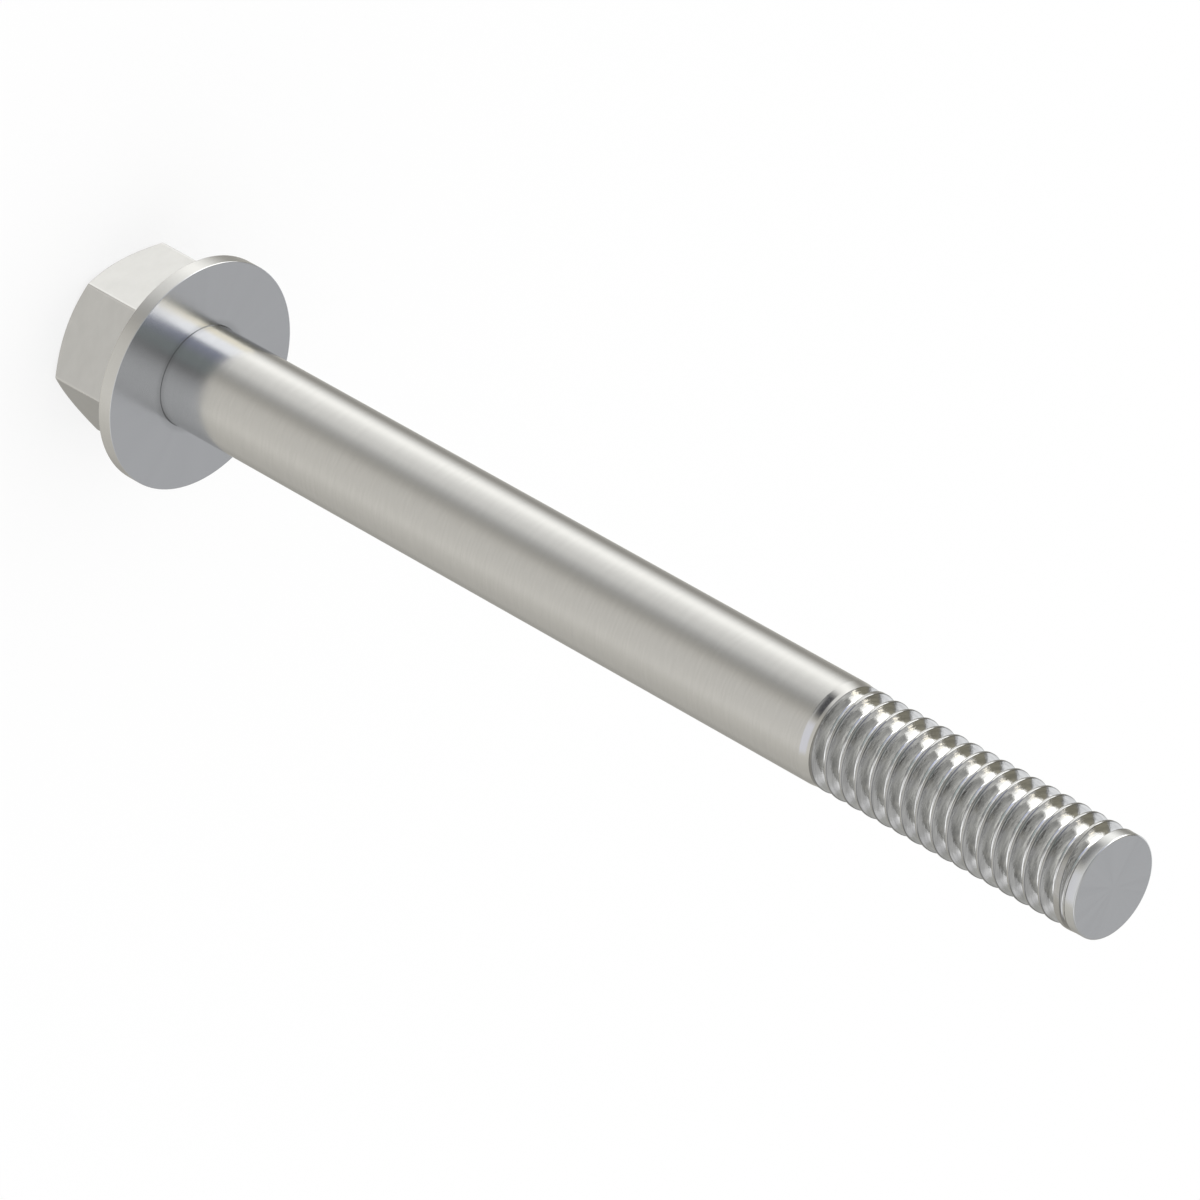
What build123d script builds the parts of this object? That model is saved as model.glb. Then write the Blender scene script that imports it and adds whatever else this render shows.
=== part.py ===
from build123d import *
import math
import os

# Hex flange bolt, 5/16 in size with 18 threads to the inch, 3 1/2 in long.
# It is one piece, forged and thread-rolled. Z runs along the axis from the head to the tip,
# and z = 0 is the bearing face under the flange. The hexagon reaches down to -head_height,
# with two of its corners on the X axis.

# Hexagon
across_flats = 12.7
head_height = 8.1
head_top_diameter = 12.5
head_chamfer_angle = 30.0

# Flange
flange_diameter = 17.75
rim_height = 1.2
rim_edge_chamfer = 0.12
flange_slope_angle = 25.0

# Shank
length_under_head = 88.9
shank_diameter = 7.9
under_head_radius = 0.2

# Thread, right hand. Its crest and its depth are the shares of the pitch that the 60 degree form gives.
thread_length = 25.4
thread_pitch = 25.4 / 18
thread_diameter = 7.86
crest_share = 0.125
depth_share = 0.6134
flank_angle = 30.0

# The groove fades in and out over these parts of a turn, starting at this angle about Z
fade_in_turns = 0.45
fade_out_turns = 0.35
full_depth_angle = 234.0

# Plain lands either side of the thread, with the bevels that lead to them
land_diameter = 7.77
land_bevel_length = 0.55
shank_land_length = 0.32
tip_land_length = 0.85
tip_edge_chamfer = 0.1

shank_radius = shank_diameter / 2
thread_radius = thread_diameter / 2
land_radius = land_diameter / 2
rim_radius = flange_diameter / 2

# Heights where the blank changes, from the shank to the tip
shank_end = length_under_head - thread_length
shank_land_start = shank_end + land_bevel_length
shank_land_end = shank_land_start + shank_land_length
tip_land_start = length_under_head - tip_land_length

# Groove of the thread. Its cutter stands out of the blank by half a crest.
crest_width = thread_pitch * crest_share
groove_depth = thread_pitch * depth_share
groove_half_width = (thread_pitch - crest_width) / 2
cutter_overhang = crest_width / 2

# The groove fades in beside the land at the shank and fades out beside the land at the tip
groove_start = shank_land_end + groove_half_width
groove_end = tip_land_start - groove_half_width
groove_turns = (groove_end - groove_start) / thread_pitch


def turned(points):
    """Solid turned about Z from the radius and height of each corner of its half section."""
    return revolve(make_face(Plane.XZ * Polyline(*points, close=True)), Axis.Z)


def flange():
    """Round rim under a cone that climbs into the hexagon."""
    cone_height = (rim_radius - shank_radius) * math.tan(math.radians(flange_slope_angle))
    return turned([
        (0, 0),
        (rim_radius, 0),
        (rim_radius, -rim_height),
        (shank_radius, -rim_height - cone_height),
        (0, -rim_height - cone_height),
    ])


def hexagon():
    """Six flats, with the corners at the top turned off by a cone."""
    prism = extrude(RegularPolygon(across_flats / 2, 6, major_radius=False), -head_height)
    top_radius = head_top_diameter / 2
    chamfer_height = (across_flats - top_radius) * math.tan(math.radians(head_chamfer_angle))
    envelope = turned([
        (0, 0),
        (across_flats, 0),
        (across_flats, chamfer_height - head_height),
        (top_radius, -head_height),
        (0, -head_height),
    ])
    return prism & envelope


def blank():
    """Shank, bevel and land, the round that the thread is rolled on, and the land at the tip."""
    return turned([
        (0, 0),
        (shank_radius, 0),
        (shank_radius, shank_end),
        (land_radius, shank_land_start),
        (land_radius, shank_land_end),
        (thread_radius, shank_land_end + land_bevel_length),
        (thread_radius, tip_land_start - land_bevel_length),
        (land_radius, tip_land_start),
        (land_radius, length_under_head),
        (0, length_under_head),
    ])


def break_edges(body):
    """Bevels the edges of the rim and the tip, and rounds the corner under the head."""
    rings = body.edges().filter_by(GeomType.CIRCLE).sort_by(SortBy.RADIUS)
    body = chamfer(rings[-2:], rim_edge_chamfer)
    rings = body.edges().filter_by(GeomType.CIRCLE).sort_by(Axis.Z)
    body = chamfer(rings[-1], tip_edge_chamfer)
    bearing_rings = rings.filter_by(lambda ring: abs(ring.arc_center.Z) < under_head_radius)
    return fillet(bearing_rings.sort_by(SortBy.RADIUS)[0], under_head_radius)


def groove_section():
    """Section of the groove, with its flanks carried on out of the blank."""
    flank_slope = math.tan(math.radians(flank_angle))
    outer_half = groove_half_width + cutter_overhang * flank_slope
    root_half = groove_half_width - groove_depth * flank_slope
    outer_radius = thread_radius + cutter_overhang
    root_radius = thread_radius - groove_depth
    return make_face(Plane.XZ * Polyline(
        (outer_radius, outer_half),
        (root_radius, root_half),
        (root_radius, -root_half),
        (outer_radius, -outer_half),
        close=True,
    ))


def groove_run(turns, climb_angle=0.0):
    """Groove that starts on the X axis and may climb out of the blank on its way up."""
    helix = Helix(thread_pitch, thread_pitch * turns, thread_radius, cone_angle=climb_angle)
    return sweep(groove_section(), path=helix, is_frenet=True)


def fade(turns):
    """Groove that climbs from its full depth to the surface of the blank."""
    return groove_run(turns, math.degrees(math.atan(groove_depth / (thread_pitch * turns))))


def groove():
    """The whole groove: it fades in, runs on in equal lengths and fades out."""
    runs = math.ceil(groove_turns)
    share = groove_turns / runs
    places = [
        Pos(Z=groove_start + thread_pitch * share * run) * Rot(Z=full_depth_angle + 360 * share * run)
        for run in range(runs + 1)
    ]
    cutters = [place * groove_run(share) for place in places[:-1]]
    return cutters + [places[0] * Rot(X=180) * fade(fade_in_turns), places[-1] * fade(fade_out_turns)]


bolt = break_edges(flange() + hexagon() + blank()) - groove()

os.makedirs("parts", exist_ok=True)
export_step(bolt, "parts/flange_bolt.step")
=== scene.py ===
import bmesh
import bpy
import math
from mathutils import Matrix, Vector


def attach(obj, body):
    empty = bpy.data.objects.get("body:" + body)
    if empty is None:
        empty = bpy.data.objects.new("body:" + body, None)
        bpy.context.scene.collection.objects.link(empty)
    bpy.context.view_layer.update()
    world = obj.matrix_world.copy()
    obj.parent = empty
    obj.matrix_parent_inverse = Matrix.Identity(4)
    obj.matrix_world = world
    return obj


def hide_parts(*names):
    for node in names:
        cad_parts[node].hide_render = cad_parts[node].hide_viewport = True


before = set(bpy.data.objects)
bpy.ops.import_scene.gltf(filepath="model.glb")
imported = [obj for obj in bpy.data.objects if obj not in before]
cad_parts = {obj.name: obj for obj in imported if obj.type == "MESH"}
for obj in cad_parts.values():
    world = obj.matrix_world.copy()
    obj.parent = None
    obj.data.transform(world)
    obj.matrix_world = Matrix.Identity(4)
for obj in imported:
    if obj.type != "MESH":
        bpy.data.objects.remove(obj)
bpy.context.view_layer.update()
print("frame loaded")

mm = 0.001
onAxis = (0, 0, 0)
sameSpot = 0.002 * mm        # points closer than this are the same point


# Tools for the bench: picking by place, turning a round, cutting one shape with another

def newStart():
    if bpy.context.object and bpy.context.object.mode == "EDIT":
        bpy.ops.object.mode_set(mode="OBJECT")
    bpy.ops.object.select_all(action="DESELECT")


def selectOnly(piece):
    newStart()
    bpy.context.view_layer.objects.active = piece
    piece.select_set(True)


def pick(kind, test):
    # selects the points, edges or faces of the mesh being edited that pass the test
    bpy.ops.mesh.select_mode(type=kind)
    bpy.ops.mesh.select_all(action="DESELECT")
    data = bpy.context.edit_object.data
    mesh = bmesh.from_edit_mesh(data)
    for part in {"VERT": mesh.verts, "EDGE": mesh.edges, "FACE": mesh.faces}[kind]:
        if test(part):
            part.select_set(True)
    bmesh.update_edit_mesh(data)


def turnRound(name, rings, sides):
    # a disc is drawn out ring by ring, each ring a radius and a height in mm
    newStart()
    radius, height = rings[0]
    bpy.ops.mesh.primitive_circle_add(
        vertices=sides, radius=radius * mm, fill_type="NGON",
        location=(0, 0, height * mm), rotation=(0, 0, math.pi / sides))
    piece = bpy.context.object
    piece.name = name
    bpy.ops.object.transform_apply(location=True, rotation=True)
    bpy.ops.object.mode_set(mode="EDIT")
    for nextRadius, nextHeight in rings[1:]:
        bpy.ops.mesh.extrude_region_move(
            TRANSFORM_OT_translate={"value": (0, 0, (nextHeight - height) * mm)})
        share = nextRadius / radius
        bpy.ops.transform.resize(value=(share, share, 1), center_override=(0, 0, nextHeight * mm))
        radius, height = nextRadius, nextHeight
    bpy.ops.mesh.select_all(action="SELECT")
    bpy.ops.mesh.normals_make_consistent(inside=False)
    bpy.ops.object.mode_set(mode="OBJECT")
    return piece


def roundRing(radius, height, width, segments):
    # rounds the ring of edges at a radius and a height, all in mm
    def onRing(edge):
        return all(
            abs(v.co.z - height * mm) < sameSpot and abs(v.co.xy.length - radius * mm) < sameSpot
            for v in edge.verts)
    pick("EDGE", onRing)
    bpy.ops.mesh.bevel(offset=width * mm, segments=segments, profile=0.5, affect="EDGES")


def cutWith(piece, tool, operation):
    selectOnly(piece)
    boolean = piece.modifiers.new("cut", "BOOLEAN")
    boolean.object = tool
    boolean.operation = operation
    boolean.solver = "EXACT"
    bpy.ops.object.modifier_apply(modifier=boolean.name)
    bpy.data.objects.remove(tool)


# The blank: flange, shank and the round that the thread is rolled on. Lengths are in mm.

blankSizes = {
    "sides": 120,
    "rimRadius": 8.875,
    "rimHeight": 1.2,
    "rimRound": 0.05,
    "flangeSlope": 25,       # degrees
    "shankRadius": 3.95,
    "underHeadRound": 0.05,
    "shankEnd": 63.5,
    "shankEndRound": 0.05,
    "bevelLength": 0.55,
    "shankLandLength": 0.32,
    "landRadius": 3.885,
    "threadRadius": 3.93,
    "tipLandStart": 88.05,
    "tip": 88.9,
    "tipRound": 0.12,
    "roundSegments": 4,
    "shankEndSegments": 2,
}


def coneAt(b, radius):
    # height of the flange's cone at a radius
    return -b["rimHeight"] - (b["rimRadius"] - radius) * math.tan(math.radians(b["flangeSlope"]))


def threadFrom(b):
    # height where the land at the shank's end gives way to the thread
    return b["shankEnd"] + b["bevelLength"] + b["shankLandLength"]


def makeBlank(b):
    blank = turnRound("flangeBolt", [
        (b["shankRadius"], coneAt(b, b["shankRadius"])),
        (b["rimRadius"], -b["rimHeight"]),
        (b["rimRadius"], 0),
        (b["shankRadius"], 0),
        (b["shankRadius"], b["shankEnd"]),
        (b["landRadius"], b["shankEnd"] + b["bevelLength"]),
        (b["landRadius"], threadFrom(b)),
        (b["threadRadius"], threadFrom(b) + b["bevelLength"]),
        (b["threadRadius"], b["tipLandStart"] - b["bevelLength"]),
        (b["landRadius"], b["tipLandStart"]),
        (b["landRadius"], b["tip"]),
    ], b["sides"])
    bpy.ops.object.mode_set(mode="EDIT")
    roundRing(b["rimRadius"], -b["rimHeight"], b["rimRound"], b["roundSegments"])
    roundRing(b["rimRadius"], 0, b["rimRound"], b["roundSegments"])
    roundRing(b["shankRadius"], 0, b["underHeadRound"], b["roundSegments"])
    roundRing(b["shankRadius"], b["shankEnd"], b["shankEndRound"], b["shankEndSegments"])
    roundRing(b["landRadius"], b["tip"], b["tipRound"], b["roundSegments"])
    bpy.ops.object.mode_set(mode="OBJECT")
    return blank


bolt = makeBlank(blankSizes)
print("blank turned")


# The head: a hexagon with its corners turned off at the top and its edges broken

headSizes = {
    "acrossFlats": 12.7,
    "height": 8.1,
    "sunkTo": 0.6,           # the hexagon ends this far short of the bearing face, inside the flange
    "topRadius": 6.25,
    "topSlope": 30,          # degrees
    "turnedSides": 120,
    "turnedPast": 1,         # how far the turning goes on beyond the bearing face
    "edgeRound": 0.06,
    "edgeSegments": 3,
    "edgeAngle": 20,         # degrees, edges sharper than this are broken
    "footRound": 0.25,
    "footSegments": 4,
    "footAngle": 15,         # degrees, the foot is sharper than this
    "footReach": 0.15,       # how far either side of the flats and the corners the foot is looked for
}


def acrossCorners(h):
    return h["acrossFlats"] / math.cos(math.radians(30))


def makeHead(h):
    newStart()
    depth = h["height"] - h["sunkTo"]
    bpy.ops.mesh.primitive_cylinder_add(
        vertices=6, radius=acrossCorners(h) / 2 * mm, depth=depth * mm,
        location=(0, 0, (depth / 2 - h["height"]) * mm), rotation=(0, 0, math.radians(90)))
    head = bpy.context.object
    bpy.ops.object.transform_apply(location=True, rotation=True)
    rise = (h["acrossFlats"] - h["topRadius"]) * math.tan(math.radians(h["topSlope"]))
    cornerRound = turnRound("cornerRound", [
        (h["topRadius"], -h["height"]),
        (h["acrossFlats"], rise - h["height"]),
        (h["acrossFlats"], h["turnedPast"]),
    ], h["turnedSides"])
    cutWith(head, cornerRound, "INTERSECT")
    bevel = head.modifiers.new("brokenEdges", "BEVEL")
    bevel.width = h["edgeRound"] * mm
    bevel.segments = h["edgeSegments"]
    bevel.limit_method = "ANGLE"
    bevel.angle_limit = math.radians(h["edgeAngle"])
    selectOnly(head)
    bpy.ops.object.modifier_apply(modifier=bevel.name)
    return head


def roundFoot(h, b):
    # the corner where the flats come down on the flange's cone
    inner = h["acrossFlats"] / 2 - h["footReach"]
    outer = acrossCorners(h) / 2 + h["footReach"]

    def inReach(point):
        return (
            inner * mm < point.xy.length < outer * mm
            and coneAt(b, inner) * mm < point.z < coneAt(b, outer) * mm)

    def onFoot(edge):
        if len(edge.link_faces) != 2 or edge.calc_face_angle(0) < math.radians(h["footAngle"]):
            return False
        return all(inReach(v.co) for v in edge.verts)

    bpy.ops.object.mode_set(mode="EDIT")
    pick("EDGE", onFoot)
    bpy.ops.mesh.bevel(
        offset=h["footRound"] * mm, segments=h["footSegments"], profile=0.5, affect="EDGES",
        clamp_overlap=False)
    bpy.ops.object.mode_set(mode="OBJECT")


cutWith(bolt, makeHead(headSizes), "UNION")
roundFoot(headSizes, blankSizes)
print("head forged on")


# The thread: one groove is cut along a helix, and fades in and out at its ends

threadSizes = {
    "pitch": 25.4 / 18,
    "crestShare": 0.125,     # of the pitch
    "depthShare": 0.6134,    # of the pitch
    "flankAngle": 30,        # degrees
    "flareAngle": 60,        # degrees, the edges of the crest lean back this far
    "flareDepth": 0.03,
    "overhang": 0.02,        # how far the cutter stands out of the blank
    "rootRound": 0.112,
    "rootSegments": 5,
    "startAngle": 234,       # degrees
    "stepsPerTurn": 120,
    "fadeInTurns": 0.45,
    "fadeOutTurns": 0.35,
}


def halfWidth(t):
    # half the groove's width at its mouth, before the flare
    return t["pitch"] * (1 - t["crestShare"]) / 2


def drawGrooveSection(t, radius):
    # one point is carried from corner to corner, and the ends of the root are rounded
    slope = math.tan(math.radians(t["flankAngle"]))
    depth = t["pitch"] * t["depthShare"]
    flareStart = halfWidth(t) - t["flareDepth"] * slope
    flareSlope = math.tan(math.radians(t["flareAngle"]))
    side = [
        (radius + t["overhang"], flareStart + (t["flareDepth"] + t["overhang"]) * flareSlope),
        (radius - t["flareDepth"], flareStart),
        (radius - depth, halfWidth(t) - depth * slope),
    ]
    corners = side + [(x, -z) for x, z in reversed(side)]
    corners = [Vector((x * mm, 0, z * mm)) for x, z in corners]
    newStart()
    bpy.ops.mesh.primitive_plane_add(size=mm, location=corners[0])
    section = bpy.context.object
    section.name = "grooveSection"
    bpy.ops.object.transform_apply(location=True)
    bpy.ops.object.mode_set(mode="EDIT")
    bpy.ops.mesh.select_mode(type="VERT")
    bpy.ops.mesh.select_all(action="SELECT")
    bpy.ops.mesh.merge(type="CENTER")
    for here, there in zip(corners, corners[1:]):
        bpy.ops.mesh.extrude_vertices_move(TRANSFORM_OT_translate={"value": there - here})
    bpy.ops.mesh.select_all(action="SELECT")
    bpy.ops.mesh.edge_face_add()
    pick("VERT", lambda v: abs(v.co.x - (radius - depth) * mm) < sameSpot)
    bpy.ops.mesh.bevel(
        offset=t["rootRound"] * mm, segments=t["rootSegments"], profile=0.5, affect="VERTICES")
    bpy.ops.mesh.select_all(action="SELECT")
    bpy.ops.mesh.delete(type="ONLY_FACE")
    bpy.ops.object.mode_set(mode="OBJECT")
    return section


def copyOf(piece, name):
    selectOnly(piece)
    bpy.ops.object.duplicate()
    bpy.context.object.name = name
    return bpy.context.object


def drawFade(section, name, t, turns, way):
    # the section is drawn on step by step, round the axis, along it and out of the blank
    fade = copyOf(section, name)
    steps = round(turns * t["stepsPerTurn"])
    turn = way * 2 * math.pi / t["stepsPerTurn"]
    climb = way * t["pitch"] / t["stepsPerTurn"] * mm
    lift = t["pitch"] * t["depthShare"] / steps * mm
    bpy.ops.object.mode_set(mode="EDIT")
    bpy.ops.mesh.select_all(action="SELECT")
    for step in range(1, steps + 1):
        bpy.ops.mesh.extrude_region_move(TRANSFORM_OT_translate={"value": (0, 0, climb)})
        bpy.ops.transform.rotate(value=-turn, orient_axis="Z", center_override=onAxis)
        angle = turn * step
        out = Vector((math.cos(angle), math.sin(angle), 0)) * lift
        bpy.ops.transform.translate(value=out)
    bpy.ops.mesh.edge_face_add()
    bpy.ops.object.mode_set(mode="OBJECT")
    return fade


def drawGroove(t, b):
    section = drawGrooveSection(t, b["threadRadius"])
    fadeIn = drawFade(section, "fadeIn", t, t["fadeInTurns"], -1)
    fadeOut = drawFade(section, "fadeOut", t, t["fadeOutTurns"], 1)
    # the full groove lies between the two lands, and starts at a whole thousandth of a millimetre
    start = round(threadFrom(b) + halfWidth(t), 3)
    end = b["tipLandStart"] - halfWidth(t)
    steps = round((end - start) / t["pitch"] * t["stepsPerTurn"])
    turns = steps / t["stepsPerTurn"]
    fadeOut.rotation_euler.z = 2 * math.pi * turns
    fadeOut.location.z = t["pitch"] * turns * mm
    run = section
    selectOnly(run)
    screw = run.modifiers.new("helix", "SCREW")
    screw.axis = "Z"
    screw.angle = 2 * math.pi * turns
    screw.screw_offset = t["pitch"] * turns * mm
    screw.steps = steps
    screw.render_steps = steps
    screw.use_merge_vertices = False
    bpy.ops.object.modifier_apply(modifier=screw.name)
    fadeIn.select_set(True)
    fadeOut.select_set(True)
    bpy.ops.object.join()
    run.name = "groove"
    bpy.ops.object.mode_set(mode="EDIT")
    bpy.ops.mesh.select_all(action="SELECT")
    bpy.ops.mesh.remove_doubles(threshold=sameSpot)
    bpy.ops.mesh.normals_make_consistent(inside=False)
    bpy.ops.object.mode_set(mode="OBJECT")
    run.rotation_euler.z = math.radians(t["startAngle"])
    run.location.z = start * mm
    bpy.ops.object.transform_apply(location=True, rotation=True)
    return run


cutWith(bolt, drawGroove(threadSizes, blankSizes), "DIFFERENCE")
print("thread cut")


# Shading: the walls stay flat and the rounds run smooth

shading = {
    "weld": 0.0001,          # mm, points this close are joined into one
    "smoothBelow": 25,       # degrees, edges that turn less than this are smooth
}


def smoothSteel(piece, s):
    selectOnly(piece)
    bpy.ops.object.mode_set(mode="EDIT")
    bpy.ops.mesh.select_all(action="SELECT")
    bpy.ops.mesh.remove_doubles(threshold=s["weld"] * mm)
    bpy.ops.mesh.normals_make_consistent(inside=False)
    bpy.ops.object.mode_set(mode="OBJECT")
    bpy.ops.object.shade_smooth_by_angle(angle=math.radians(s["smoothBelow"]))
    # the long walls, the flats and the flanks keep their own normals, and the rounds take up the turn
    flatFirst = piece.modifiers.new("flatFirst", "WEIGHTED_NORMAL")
    flatFirst.keep_sharp = True
    bpy.ops.object.modifier_apply(modifier=flatFirst.name)


smoothSteel(bolt, shading)
print("bolt has", len(bolt.data.polygons), "faces")


# Tools for materials and light

def fill(tree, node, values):
    # each socket gets a fixed value, or a link from another node's output
    for label, value in values.items():
        if isinstance(value, bpy.types.NodeSocket):
            tree.links.new(value, node.inputs[label])
        else:
            node.inputs[label].default_value = value


def addNode(tree, kind, values=None, **settings):
    # settings are the node's own, and values go to its sockets
    node = tree.nodes.new(kind)
    for key, setting in settings.items():
        setattr(node, key, setting)
    fill(tree, node, values or {})
    return node


def calc(tree, operation, *numbers, clamp=False):
    values = dict(enumerate(numbers))
    return addNode(tree, "ShaderNodeMath", values, operation=operation, use_clamp=clamp).outputs[0]


def mix(tree, factor, first, second, kind="RGBA", blend="MIX"):
    values = {"Factor": factor, "A": first, "B": second}
    return addNode(tree, "ShaderNodeMix", values, data_type=kind, blend_type=blend).outputs["Result"]


def between(tree, value, start, end, low=0.0, high=1.0, kind="SMOOTHSTEP"):
    # goes from low at the start to high at the end
    values = {"Value": value, "From Min": start, "From Max": end, "To Min": low, "To Max": high}
    return addNode(tree, "ShaderNodeMapRange", values, interpolation_type=kind).outputs["Result"]


def splitUp(tree, vector):
    return addNode(tree, "ShaderNodeSeparateXYZ", {0: vector}).outputs


def addNoise(tree, place, scale, look):
    # look is the noise's detail and roughness
    values = {"Vector": place, "Scale": scale, "Detail": look[0], "Roughness": look[1]}
    return addNode(tree, "ShaderNodeTexNoise", values).outputs["Fac"]


def grey(level):
    return level, level, level, 1


def newGroup(name, inputs, outputs):
    # a node group whose sockets are all plain numbers
    group = bpy.data.node_groups.new(name, "ShaderNodeTree")
    for label, value in inputs.items():
        socket = group.interface.new_socket(label, in_out="INPUT", socket_type="NodeSocketFloat")
        socket.default_value = value
    for label in outputs:
        group.interface.new_socket(label, in_out="OUTPUT", socket_type="NodeSocketFloat")
    return group, group.nodes.new("NodeGroupInput"), group.nodes.new("NodeGroupOutput")


# Steel: fine lines over a mottle, worn or polished beyond one radius, with painted shade and painted light
# in rings beyond others

grainLook = {
    "lineRing": 4,                # mm, radius of the ring that the lines round the axis are laid on
    "lineNoise": (4.0, 0.6),      # detail and roughness
    "mottleNoise": (5.0, 0.55),
    "wearAndShadingNoise": (3.0, 0.5),
    "streaks": (0.35, 0.65),      # the part of the lines' noise that leads from dark steel to light
    "wearBreakUp": 0.5,
    # how much noise breaks up the rings of painted shade and painted light
    "paintedShadingBreakUp": 0.3,
}


def makeGrainGroup(g):
    # fine lines round or along the axis, over a soft mottle
    group, given, result = newGroup(
        "steelGrain", {"Lines Round": 400.0, "Lines Along": 3000.0, "Mottle Scale": 300.0},
        ("Lines", "Mottle"))
    place = addNode(group, "ShaderNodeTexCoord").outputs["Object"]
    apart = splitUp(group, place)
    angle = calc(group, "ARCTAN2", apart["Y"], apart["X"])
    along = calc(group, "MULTIPLY", apart["Z"], given.outputs["Lines Along"])
    stretched = addNode(group, "ShaderNodeCombineXYZ", {"Z": along})
    # the angle goes round a ring, so that the lines meet where it starts again
    for axis, operation in (("X", "SINE"), ("Y", "COSINE")):
        onRing = calc(group, "MULTIPLY", calc(group, operation, angle), g["lineRing"] * mm)
        onRing = calc(group, "MULTIPLY", onRing, given.outputs["Lines Round"])
        fill(group, stretched, {axis: onRing})
    fill(group, result, {
        "Lines": addNoise(group, stretched.outputs[0], 1.0, g["lineNoise"]),
        "Mottle": addNoise(group, place, given.outputs["Mottle Scale"], g["mottleNoise"]),
    })
    return group


def makeWearAndPaintedShadingGroup(g):
    # how far a place is from one radius to the other, as 0 to 1, broken up by noise, for real wear and for
    # rings of painted shade and painted light alike
    group, given, result = newGroup(
        "edgeWearAndPaintedShading", {"From Radius": 0.0038, "To Radius": 0.0039, "Break Up": 0.5, "Break Scale": 2500.0},
        ("Wear And Painted Shading",))
    place = addNode(group, "ShaderNodeTexCoord").outputs["Object"]
    apart = splitUp(group, place)
    across, over = [calc(group, "POWER", apart[axis], 2.0) for axis in "XY"]
    radius = calc(group, "SQRT", calc(group, "ADD", across, over))
    spread = between(group, radius, given.outputs["From Radius"], given.outputs["To Radius"])
    noise = addNoise(group, place, given.outputs["Break Scale"], g["wearAndShadingNoise"])
    kept = calc(group, "SUBTRACT", 1.0, calc(group, "MULTIPLY", noise, given.outputs["Break Up"]))
    fill(group, result, {"Wear And Painted Shading": calc(group, "MULTIPLY", spread, kept, clamp=True)})
    return group


steelGrain = makeGrainGroup(grainLook)
edgeWearAndPaintedShading = makeWearAndPaintedShadingGroup(grainLook)

# Radii and heights are in mm, and lines and mottle in waves to the metre. The wear sets in from its
# first radius to its second, and so does each ring of painted shading, which also has the share that it
# darkens the steel by as painted shade; a share below nothing paints light. A first radius above the second
# puts it on the inside.
finishes = {
    # the hexagon, worn at its corners
    "forgedSteel": {
        "dark": (0.485, 0.485, 0.48), "light": (0.51, 0.51, 0.505), "worn": (0.56, 0.56, 0.555),
        "roughness": (0.30, 0.36), "wornRoughness": 0.26,
        "linesRound": 900, "linesAlong": 900, "mottleScale": 500,
        "wear": (7.22, 7.30), "paintedShading": [],
        "bumpHeight": 0.0012, "lineBump": 0.3,
    },
    # the rim, worn round its outside, and the cone, with painted shade where the flats come down on it
    "rimSteel": {
        "dark": (0.485, 0.485, 0.48), "light": (0.51, 0.51, 0.505), "worn": (0.54, 0.54, 0.535),
        "roughness": (0.26, 0.32), "wornRoughness": 0.24,
        "linesRound": 300, "linesAlong": 4000, "mottleScale": 500,
        "wear": (8.80, 8.87), "paintedShading": [(6.45, 6.40, 0.3)],
        "bumpHeight": 0.001, "lineBump": 0.4,
    },
    # the bearing face, with a painted shade line and a fainter band of painted shade round the shank
    "pressedSteel": {
        "dark": (0.485, 0.495, 0.505), "light": (0.50, 0.51, 0.52), "worn": (0.54, 0.545, 0.55),
        "roughness": (0.18, 0.22), "wornRoughness": 0.18,
        "linesRound": 900, "linesAlong": 900, "mottleScale": 500,
        "wear": (8.80, 8.87), "paintedShading": [(4.02, 3.98, 0.85), (4.60, 4.00, 0.20)],
        "bumpHeight": 0.001, "lineBump": 0.2,
    },
    # the shank, with the bevel and the land at its end polished, and painted shade in the round under the
    # head
    "drawnSteel": {
        "dark": (0.49, 0.49, 0.485), "light": (0.51, 0.51, 0.505), "worn": (0.50, 0.50, 0.495),
        "roughness": (0.17, 0.21), "wornRoughness": 0.07,
        "linesRound": 500, "linesAlong": 6000, "mottleScale": 250,
        "wear": (3.948, 3.943), "paintedShading": [(3.950, 3.954, 0.85)],
        "bumpHeight": 0.0008, "lineBump": 0.6,
    },
    # the thread, with painted light at the bottom of its groove and a painted shade line along its crests
    "rolledSteel": {
        "dark": (0.40, 0.40, 0.395), "light": (0.53, 0.53, 0.52), "worn": (0.44, 0.44, 0.435),
        "roughness": (0.06, 0.12), "wornRoughness": 0.14,
        "linesRound": 450, "linesAlong": 9000, "mottleScale": 4000,
        "wear": (3.920, 3.927), "paintedShading": [(3.50, 3.20, -0.45), (3.85, 3.89, 0.60)],
        "bumpHeight": 0.007, "lineBump": 1.5,
    },
    # the land, the round and the end face at the tip, polished towards the outside
    "cutSteel": {
        "dark": (0.49, 0.50, 0.505), "light": (0.51, 0.52, 0.525), "worn": (0.50, 0.505, 0.505),
        "roughness": (0.20, 0.24), "wornRoughness": 0.18,
        "linesRound": 900, "linesAlong": 900, "mottleScale": 500,
        "wear": (3.70, 3.77), "paintedShading": [],
        "bumpHeight": 0.001, "lineBump": 0.2,
    },
}


# a ring mask, for real wear and for painted shade and painted light alike
def wearAndPaintedShadingMask(tree, fromRadius, toRadius, breakUp):
    return addNode(tree, "ShaderNodeGroup", {
        "From Radius": fromRadius * mm, "To Radius": toRadius * mm, "Break Up": breakUp,
    }, node_tree=edgeWearAndPaintedShading).outputs["Wear And Painted Shading"]


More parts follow.
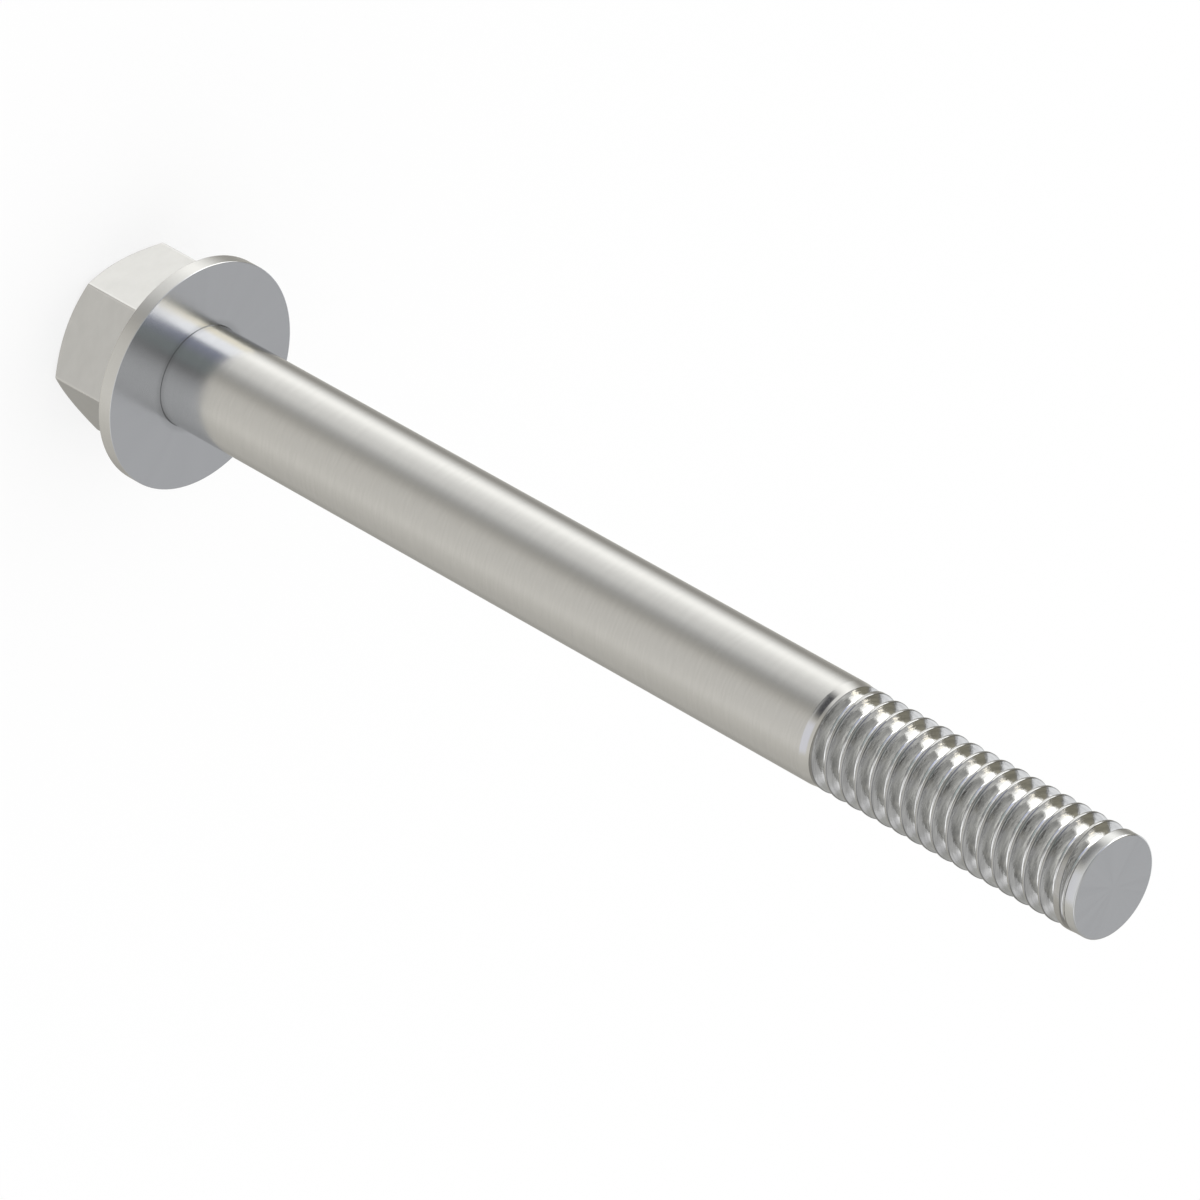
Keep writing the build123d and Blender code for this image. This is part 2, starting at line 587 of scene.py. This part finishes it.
def makeSteel(name, f, g):
    material = bpy.data.materials.new(name)
    material.use_nodes = True
    tree = material.node_tree
    grain = addNode(tree, "ShaderNodeGroup", {
        "Lines Round": f["linesRound"], "Lines Along": f["linesAlong"], "Mottle Scale": f["mottleScale"],
    }, node_tree=steelGrain).outputs
    streaks = between(tree, grain["Lines"], *g["streaks"], kind="LINEAR")
    colour = mix(tree, streaks, (*f["dark"], 1), (*f["light"], 1))
    # each ring darkens the steel by its share as painted shade, and a share below nothing brightens it as
    # painted light
    for fromRadius, toRadius, share in f["paintedShading"]:
        paintedShading = wearAndPaintedShadingMask(tree, fromRadius, toRadius, g["paintedShadingBreakUp"])
        colour = mix(tree, paintedShading, colour, grey(1 - share), blend="MULTIPLY")
    wear = wearAndPaintedShadingMask(tree, *f["wear"], g["wearBreakUp"])
    colour = mix(tree, wear, colour, (*f["worn"], 1))
    roughness = between(tree, grain["Mottle"], 0.0, 1.0, *f["roughness"], kind="LINEAR")
    roughness = mix(tree, wear, roughness, f["wornRoughness"], kind="FLOAT")
    lines = calc(tree, "MULTIPLY", grain["Lines"], f["lineBump"])
    bump = addNode(tree, "ShaderNodeBump", {
        "Height": calc(tree, "ADD", grain["Mottle"], lines), "Distance": f["bumpHeight"] * mm,
    })
    fill(tree, tree.nodes["Principled BSDF"], {
        "Metallic": 1.0, "Base Color": colour, "Roughness": roughness, "Normal": bump.outputs["Normal"],
    })
    return material


zoneSizes = {
    "bearing": 0.03,         # mm, the bearing face reaches this far either side of its own height
    "cone": 0.01,            # mm, the rim's zone reaches this far below the cone
}


def finishOf(middle, b, z):
    # the finish of a face, by the place of its middle in mm
    if middle.z > b["tipLandStart"]:
        return "cutSteel"
    if middle.z > threadFrom(b):
        return "rolledSteel"
    if middle.z > z["bearing"]:
        return "drawnSteel"
    if middle.z > -z["bearing"]:
        return "pressedSteel"
    if middle.z > coneAt(b, middle.xy.length) - z["cone"]:
        return "rimSteel"
    return "forgedSteel"


def dressBolt(b, z):
    for name, finish in finishes.items():
        bolt.data.materials.append(makeSteel(name, finish, grainLook))
    selectOnly(bolt)
    bpy.ops.object.mode_set(mode="EDIT")
    for slot, name in enumerate(finishes):
        pick("FACE", lambda face: finishOf(face.calc_center_median() / mm, b, z) == name)
        bolt.active_material_index = slot
        bpy.ops.object.material_slot_assign()
    bpy.ops.object.mode_set(mode="OBJECT")


dressBolt(blankSizes, zoneSizes)
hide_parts("flange_bolt")
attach(bolt, "root")
print("bolt dressed")


# Floor, room and camera. Heights in the room are the sine of the angle up.

studio = {
    "floorHeight": -8.1,     # mm
    "floorSize": 4000,       # mm
    "floorGrey": 0.24,       # how much of the floor's white is lit, and so can lie in shadow
    "frontSide": 254.45,     # degrees round from X, the side that the camera is on
    "fullScale": 4.0,        # strengths are worked out as shares of this, because a ramp stops at 1
    # how bright the steel sees the room, by degrees round from the front side
    "lowRoom": {
        -180: 0.60, -160: 0.56, -144: 0.44, -128: 0.56, -112: 1.22, -96: 1.80, -80: 1.52,
        -64: 1.26, -48: 1.07, -32: 0.69, -16: 0.625, 0: 0.82, 16: 0.90, 32: 0.93, 48: 0.97,
        64: 1.0, 80: 0.90, 96: 0.82, 112: 0.74, 128: 0.68, 144: 0.53, 160: 0.46, 180: 0.60,
    },
    "highRoom": {
        -180: 0.69, -160: 0.48, -144: 0.28, -128: 0.36, -112: 0.8, -96: 0.8, -80: 0.8,
        -64: 0.85, -48: 0.66, -32: 0.56, -16: 0.54, 0: 0.38, 16: 0.84, 32: 1.24, 48: 1.42,
        64: 1.48, 80: 1.42, 96: 1.36, 112: 1.25, 128: 1.0, 144: 0.80, 160: 0.68, 180: 0.69,
    },
    "overhead": 0.71,
    "lowToHigh": (-0.3, 0.4),
    "highToOverhead": (0.60, 0.70),
    "tints": {"plain": (1, 1, 1.02), "warm": (1.03, 1, 0.925), "gold": (1.08, 1, 0.82),
              "blue": (0.93, 1, 1.35), "green": (0.86, 1, 1.02), "soft": (1.01, 1, 0.965)},
    # the low room is warm and the high room plain, apart from these sides
    "lowTints": {-112: "soft", -96: "soft", -80: "soft", -64: "soft", -48: "soft", -32: "soft"},
    "highTints": {-128: "gold", -112: "gold", -64: "blue", -48: "blue", -32: "green", -16: "green"},
    # soft boxes and dark cards, each over the ones before it, with how soft their sides and heights are
    "boxes": [
        {"sides": (-143, -122), "heights": (0.40, 0.66), "soft": (2, 0.02), "light": (0.38, 0.36, 0.29)},
        {"sides": (-185, -142), "heights": (-0.25, 0.38), "soft": (3, 0.04), "light": (1.30, 1.32, 1.36)},
        {"sides": (-74, -34), "heights": (-0.38, 0.20), "soft": (6, 0.03), "light": (0.85, 0.85, 0.85)},
        {"sides": (-34, 8), "heights": (-0.38, 0.20), "soft": (6, 0.03), "light": (0.55, 0.55, 0.55)},
        {"sides": (8, 76), "heights": (-0.38, 0.20), "soft": (6, 0.03), "light": (0.75, 0.75, 0.74)},
        {"sides": (-74, 76), "heights": (-0.38, -0.23), "soft": (6, 0.03), "light": (1.35, 1.35, 1.33)},
        {"sides": (80, 150), "heights": (-0.30, 0.12), "soft": (8, 0.05), "light": (0.66, 0.66, 0.64)},
        {"sides": (98, 150), "heights": (0.05, 0.50), "soft": (8, 0.04), "light": (0.66, 0.66, 0.64)},
        {"sides": (-120, -70), "heights": (0.12, 0.70), "soft": (2, 0.02), "light": (3.3, 3.3, 3.3)},
        {"sides": (-112, -77), "heights": (-0.24, 0.18), "soft": (3, 0.03), "light": (4.2, 4.2, 4.2)},
        {"sides": (-121, -68), "heights": (0.50, 0.70), "soft": (4, 0.02), "light": (3.5, 3.5, 3.6)},
        {"sides": (-121, -100), "heights": (0.50, 0.70), "soft": (3, 0.02), "light": (3.2, 2.95, 2.35)},
        {"sides": (-114, -62), "heights": (0.72, 0.86), "soft": (4, 0.02), "light": (0.95, 0.95, 0.93)},
        {"sides": (-66, -8), "heights": (-0.50, -0.40), "soft": (14, 0.015), "light": (0.10, 0.10, 0.11)},
        {"sides": (7, 70), "heights": (-0.49, -0.39), "soft": (9, 0.015), "light": (1.15, 1.15, 1.24)},
    ],
}


def makeFloor(s):
    newStart()
    bpy.ops.mesh.primitive_plane_add(size=s["floorSize"] * mm, location=(0, 0, s["floorHeight"] * mm))
    floor = bpy.context.object
    floor.name = "floor"
    material = bpy.data.materials.new("whitePaper")
    material.use_nodes = True
    tree = material.node_tree
    tree.nodes.remove(tree.nodes["Principled BSDF"])
    # the paper's own light is seen but lights nothing, so that the bolt gets none of it
    rays = addNode(tree, "ShaderNodeLightPath").outputs
    seen = calc(tree, "MAXIMUM", rays["Is Camera Ray"], rays["Is Glossy Ray"])
    seen = calc(tree, "MAXIMUM", seen, rays["Is Transmission Ray"])
    lift = calc(tree, "MULTIPLY", seen, 1 - s["floorGrey"])
    paper = addNode(tree, "ShaderNodeBsdfDiffuse", {"Color": grey(s["floorGrey"])})
    light = addNode(tree, "ShaderNodeEmission", {"Strength": lift})
    both = addNode(tree, "ShaderNodeAddShader", {0: paper.outputs[0], 1: light.outputs[0]})
    fill(tree, tree.nodes["Material Output"], {"Surface": both.outputs[0]})
    floor.data.materials.append(material)
    floor.visible_glossy = False


def addRamp(tree, share, stops, tintAt, fullScale):
    ramp = addNode(tree, "ShaderNodeValToRGB", {"Fac": share})
    ramp.color_ramp.interpolation = "CARDINAL"
    marks = ramp.color_ramp.elements
    places = sorted(stops.items())
    marks[0].position, marks[1].position = 0.0, 1.0
    for degrees, _ in places[1:-1]:
        marks.new(degrees / 360 + 0.5)
    for mark, (degrees, strength) in zip(marks, places):
        mark.color = (*(strength / fullScale * part for part in tintAt(degrees)), 1)
    return ramp.outputs["Color"]


def addBox(tree, side, height, behind, box, fullScale):
    # the box covers what is behind it, with a soft edge all round
    edges = []
    for value, (start, end), soft in zip((side, height), (box["sides"], box["heights"]), box["soft"]):
        edges.append(between(tree, value, start - soft, start + soft))
        edges.append(between(tree, value, end + soft, end - soft))
    cover = edges[0]
    for edge in edges[1:]:
        cover = calc(tree, "MULTIPLY", cover, edge)
    return mix(tree, cover, behind, (*(part / fullScale for part in box["light"]), 1))


def makeRoom(s):
    world = bpy.data.worlds.new("room")
    bpy.context.scene.world = world
    world.use_nodes = True
    tree = world.node_tree
    tree.nodes.clear()
    way = addNode(tree, "ShaderNodeMapping", {
        "Vector": addNode(tree, "ShaderNodeTexCoord").outputs["Generated"],
        "Rotation": (0, 0, -math.radians(s["frontSide"])),
    }, vector_type="POINT")
    apart = splitUp(tree, way.outputs[0])
    height = apart["Z"]
    side = calc(tree, "ARCTAN2", apart["Y"], apart["X"])
    share = calc(tree, "ADD", calc(tree, "DIVIDE", side, 2 * math.pi), 0.5)
    tints, fullScale = s["tints"], s["fullScale"]
    low = addRamp(
        tree, share, s["lowRoom"], lambda degrees: tints[s["lowTints"].get(degrees, "warm")], fullScale)
    high = addRamp(
        tree, share, s["highRoom"], lambda degrees: tints[s["highTints"].get(degrees, "plain")], fullScale)
    seen = mix(tree, between(tree, height, *s["lowToHigh"]), low, high)
    seen = mix(tree, between(tree, height, *s["highToOverhead"]), seen, grey(s["overhead"] / fullScale))
    degrees = calc(tree, "DEGREES", side)
    for box in s["boxes"]:
        seen = addBox(tree, degrees, height, seen, box, fullScale)
    # only reflections see the room, and everything else sees white
    steelSees = addNode(tree, "ShaderNodeBackground", {"Color": seen, "Strength": fullScale})
    white = addNode(tree, "ShaderNodeBackground", {"Color": grey(1)})
    rays = addNode(tree, "ShaderNodeLightPath").outputs
    plain = calc(tree, "MAXIMUM", rays["Is Camera Ray"], rays["Is Transmission Ray"])
    glossy = calc(tree, "SUBTRACT", rays["Is Glossy Ray"], plain, clamp=True)
    either = addNode(tree, "ShaderNodeMixShader", {0: glossy, 1: white.outputs[0], 2: steelSees.outputs[0]})
    addNode(tree, "ShaderNodeOutputWorld", {"Surface": either.outputs[0]})


view = {
    "place": (-154.53, -555.36, 455.77),      # mm
    "turn": (-34.1682, -45.0543, 118.2512),   # degrees, the camera is rolled as the photograph is
    "lens": 306.78,
    "sensor": 36,
}


def makeCamera(v):
    newStart()
    bpy.ops.object.camera_add(
        location=[x * mm for x in v["place"]], rotation=[math.radians(x) for x in v["turn"]])
    camera = bpy.context.object
    camera.data.lens = v["lens"]
    camera.data.sensor_width = v["sensor"]
    bpy.context.scene.camera = camera


makeFloor(studio)
makeRoom(studio)
makeCamera(view)
bpy.context.scene.view_settings.view_transform = "Standard"
print("floor, room and camera set")
